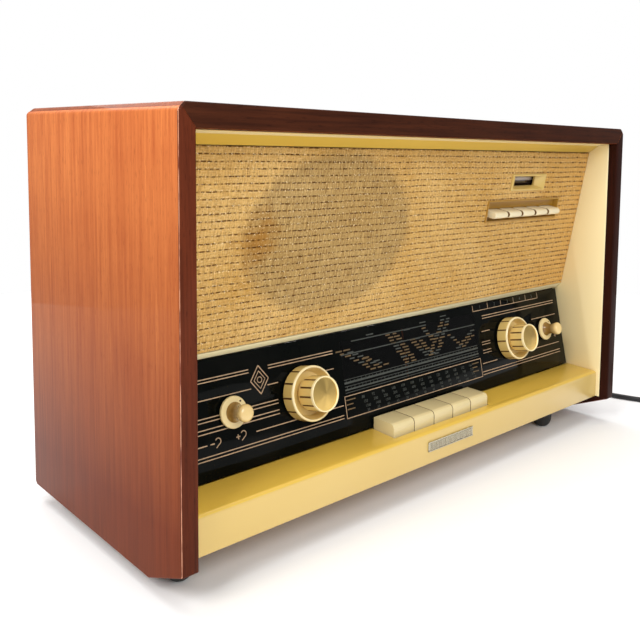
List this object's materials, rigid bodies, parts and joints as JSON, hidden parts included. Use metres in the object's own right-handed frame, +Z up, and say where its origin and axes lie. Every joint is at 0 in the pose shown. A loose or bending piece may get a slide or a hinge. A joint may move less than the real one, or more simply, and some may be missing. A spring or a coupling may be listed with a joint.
{
  "type": "vintage table radio",
  "caption": "Wooden table-top valve radio with a cloth grille, sloping black dial glass, double knobs, piano keys, register buttons, its works inside and a mains cord.",
  "frame": {"origin": "on the surface the radio stands on, midway between its sides and midway between its front and rear edges", "axes": "+X to the listener's right along the width, +Y from the front to the rear cover, +Z up"},
  "size_m": [0.8109, 0.3793, 0.326],
  "materials": {
    "cabinet_wood": "glossy polyester lacquer over mahogany veneer",
    "plywood": "raw plywood",
    "hardboard": "pressed hardboard",
    "cream_plastic": "cream moulded plastic, semi-gloss",
    "mustard_plastic": "mustard and cream moulded plastic",
    "ivory_plastic": "ivory moulded plastic",
    "grille_cloth": "woven gold grille cloth with dark rows",
    "dial_glass": "black printed glass with pale gold lines",
    "tube_glass": "clear glass envelope",
    "brass": "spun brass",
    "steel": "plated sheet steel",
    "dark_steel": "dark painted steel",
    "aluminium": "die-cast and sheet aluminium",
    "speaker_paper": "pressed paper cone",
    "varnished_iron": "varnished laminations and winding",
    "pointer_paint": "red painted steel",
    "rubber": "black rubber",
    "cord_plastic": "black flexible cord sheath"
  },
  "bodies": {
    "cabinet": {"side_panel_left": "cabinet_wood", "side_panel_right": "cabinet_wood", "top_panel": "cabinet_wood", "bottom_board": "plywood", "baffle_board": "plywood", "rear_cover": "hardboard", "cheek_trim_left": "cream_plastic", "cheek_trim_right": "cream_plastic", "top_trim": "cream_plastic", "grille_lip": "cream_plastic", "eye_frame": "cream_plastic", "dial_backplate": "cream_plastic", "front_ledge": "mustard_plastic", "register_frame": "mustard_plastic", "grille_cloth": "grille_cloth", "dial_glass": "dial_glass", "eye_tube": "tube_glass", "valve_1": "tube_glass", "valve_2": "tube_glass", "valve_3": "tube_glass", "name_badge": "brass", "control_plate": "steel", "key_bracket": "steel", "chassis": "steel", "speaker_magnet": "steel", "speaker_basket": "dark_steel", "speaker_cone": "speaker_paper", "gang_frame": "aluminium", "mains_transformer": "varnished_iron", "output_transformer": "varnished_iron", "foot_1": "rubber", "foot_2": "rubber", "foot_3": "rubber", "foot_4": "rubber", "strain_relief": "rubber", "mains_plug": "rubber", "mains_cord": "cord_plastic", "cord_coil": "cord_plastic", "cord_tail": "cord_plastic"},
    "bass": {"bass_knob": "ivory_plastic"},
    "treble": {"treble_knob": "ivory_plastic"},
    "tone": {"tone_ring": "cream_plastic"},
    "volume": {"volume_knob": "brass", "volume_shaft": "steel"},
    "tuning": {"tuning_ring": "cream_plastic"},
    "fine_tuning": {"fine_tuning_knob": "brass", "tuning_shaft": "steel"},
    "rotor": {"gang_rotor": "aluminium", "drive_drum": "brass"},
    "pointer": {"dial_pointer": "pointer_paint"},
    "key_1": {"piano_key_1": "ivory_plastic"},
    "register_1": {"register_button_1": "ivory_plastic"},
    "key_2": {"piano_key_2": "ivory_plastic"},
    "register_2": {"register_button_2": "ivory_plastic"},
    "key_3": {"piano_key_3": "ivory_plastic"},
    "register_3": {"register_button_3": "ivory_plastic"},
    "key_4": {"piano_key_4": "ivory_plastic"},
    "register_4": {"register_button_4": "ivory_plastic"},
    "key_5": {"piano_key_5": "ivory_plastic"},
    "register_5": {"register_button_5": "ivory_plastic"}
  },
  "joints": [
    {"name": "tuning_turn", "type": "hinge", "parent": "cabinet", "child": "tuning", "pos_m": [0.158, -0.06667, 0.10449], "axis": [0, -0.979, 0.2041], "range_deg": [-945, 945]},
    {"name": "fine_tuning_turn", "type": "hinge", "parent": "cabinet", "child": "fine_tuning", "pos_m": [0.158, -0.07744, 0.10674], "axis": [0, -0.979, 0.2041], "range_deg": [-540, 540]},
    {"name": "volume_turn", "type": "hinge", "parent": "cabinet", "child": "volume", "pos_m": [-0.1302, -0.07744, 0.10674], "axis": [0, -0.979, 0.2041], "range_deg": [-140, 140]},
    {"name": "tone_turn", "type": "hinge", "parent": "cabinet", "child": "tone", "pos_m": [-0.1302, -0.06667, 0.10449], "axis": [0, -0.979, 0.2041], "range_deg": [-140, 140]},
    {"name": "bass_turn", "type": "hinge", "parent": "cabinet", "child": "bass", "pos_m": [-0.2008, -0.06667, 0.10449], "axis": [0, -0.979, 0.2041], "range_deg": [-140, 140]},
    {"name": "treble_turn", "type": "hinge", "parent": "cabinet", "child": "treble", "pos_m": [0.226, -0.06667, 0.10449], "axis": [0, -0.979, 0.2041], "range_deg": [-140, 140]},
    {"name": "rotor_turn", "type": "hinge", "parent": "cabinet", "child": "rotor", "pos_m": [0.07, 0.008, 0.118], "axis": [0, 1, 0], "range_deg": [-90, 90]},
    {"name": "pointer_slide", "type": "slide", "parent": "cabinet", "child": "pointer", "axis": [1, 0, 0], "range_m": [-0.066, 0.066]},
    {"name": "key_1_press", "type": "hinge", "parent": "cabinet", "child": "key_1", "pos_m": [-0.0446, -0.045, 0.0452], "axis": [1, 0, 0], "range_deg": [0, 4.2], "stiffness_Nm_per_rad": 0.6, "springref_deg": -2.86},
    {"name": "key_2_press", "type": "hinge", "parent": "cabinet", "child": "key_2", "pos_m": [-0.0179, -0.045, 0.0452], "axis": [1, 0, 0], "range_deg": [0, 4.2], "stiffness_Nm_per_rad": 0.6, "springref_deg": -2.86},
    {"name": "key_3_press", "type": "hinge", "parent": "cabinet", "child": "key_3", "pos_m": [0.0088, -0.045, 0.0452], "axis": [1, 0, 0], "range_deg": [0, 4.2], "stiffness_Nm_per_rad": 0.6, "springref_deg": -2.86},
    {"name": "key_4_press", "type": "hinge", "parent": "cabinet", "child": "key_4", "pos_m": [0.0355, -0.045, 0.0452], "axis": [1, 0, 0], "range_deg": [0, 4.2], "stiffness_Nm_per_rad": 0.6, "springref_deg": -2.86},
    {"name": "key_5_press", "type": "hinge", "parent": "cabinet", "child": "key_5", "pos_m": [0.0622, -0.045, 0.0452], "axis": [1, 0, 0], "range_deg": [0, 4.2], "stiffness_Nm_per_rad": 0.6, "springref_deg": -2.86},
    {"name": "register_1_press", "type": "slide", "parent": "cabinet", "child": "register_1", "axis": [0, 0.9819, 0.1897], "range_m": [0, 0.003], "stiffness_N_per_m": 150, "springref_m": -0.002},
    {"name": "register_2_press", "type": "slide", "parent": "cabinet", "child": "register_2", "axis": [0, 0.9819, 0.1897], "range_m": [0, 0.003], "stiffness_N_per_m": 150, "springref_m": -0.002},
    {"name": "register_3_press", "type": "slide", "parent": "cabinet", "child": "register_3", "axis": [0, 0.9819, 0.1897], "range_m": [0, 0.003], "stiffness_N_per_m": 150, "springref_m": -0.002},
    {"name": "register_4_press", "type": "slide", "parent": "cabinet", "child": "register_4", "axis": [0, 0.9819, 0.1897], "range_m": [0, 0.003], "stiffness_N_per_m": 150, "springref_m": -0.002},
    {"name": "register_5_press", "type": "slide", "parent": "cabinet", "child": "register_5", "axis": [0, 0.9819, 0.1897], "range_m": [0, 0.003], "stiffness_N_per_m": 150, "springref_m": -0.002}
  ],
  "couplings": [
    {"joint": "rotor_turn", "follows": "tuning_turn", "ratio": 0.095238},
    {"joint": "pointer_slide", "follows": "tuning_turn", "m_per_rad": 0.0040016}
  ]
}
